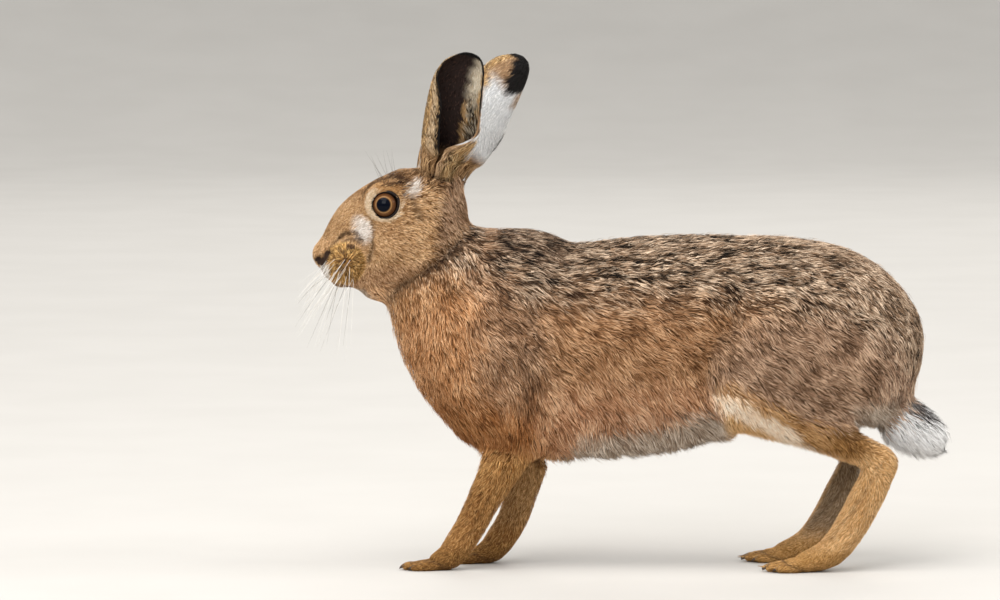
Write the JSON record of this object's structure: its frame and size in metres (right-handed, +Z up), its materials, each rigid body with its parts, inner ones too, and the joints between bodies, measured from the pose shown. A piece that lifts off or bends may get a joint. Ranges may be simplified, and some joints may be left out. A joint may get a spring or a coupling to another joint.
{
  "type": "brown hare",
  "caption": "Life-size still model of an adult brown hare standing on all four feet in profile, ears up, looking ahead.",
  "frame": {"origin": "on the ground, in the middle of the animal's length and width", "axes": "-X towards the nose, +X towards the tail, -Y to the animal's left, +Y to its right, +Z up"},
  "size_m": [0.5478, 0.1228, 0.4456],
  "materials": {
    "back_fur": "coarse agouti fur, black and cream tipped",
    "chest_fur": "soft rusty buff fur",
    "face_fur": "short speckled tan fur",
    "leg_fur": "short ochre fur",
    "ear_fur": "very short fur, black at the tip",
    "tail_fur": "long soft fur, white with a black top",
    "eye": "wet gloss, amber brown iris and black pupil"
  },
  "bodies": {
    "root": {"chest": "chest_fur", "ear_left": "ear_fur", "ear_right": "ear_fur", "eye_left": "eye", "eye_right": "eye", "foreleg_left": "leg_fur", "foreleg_right": "leg_fur", "forepaw_left": "leg_fur", "forepaw_right": "leg_fur", "head": "face_fur", "hind_foot_left": "leg_fur", "hind_foot_right": "leg_fur", "loins_and_rump": "back_fur", "neck": "chest_fur", "shank_left": "leg_fur", "shank_right": "leg_fur", "shoulder_left": "chest_fur", "shoulder_right": "chest_fur", "tail": "tail_fur", "thigh_left": "back_fur", "thigh_right": "back_fur"}
  },
  "joints": []
}
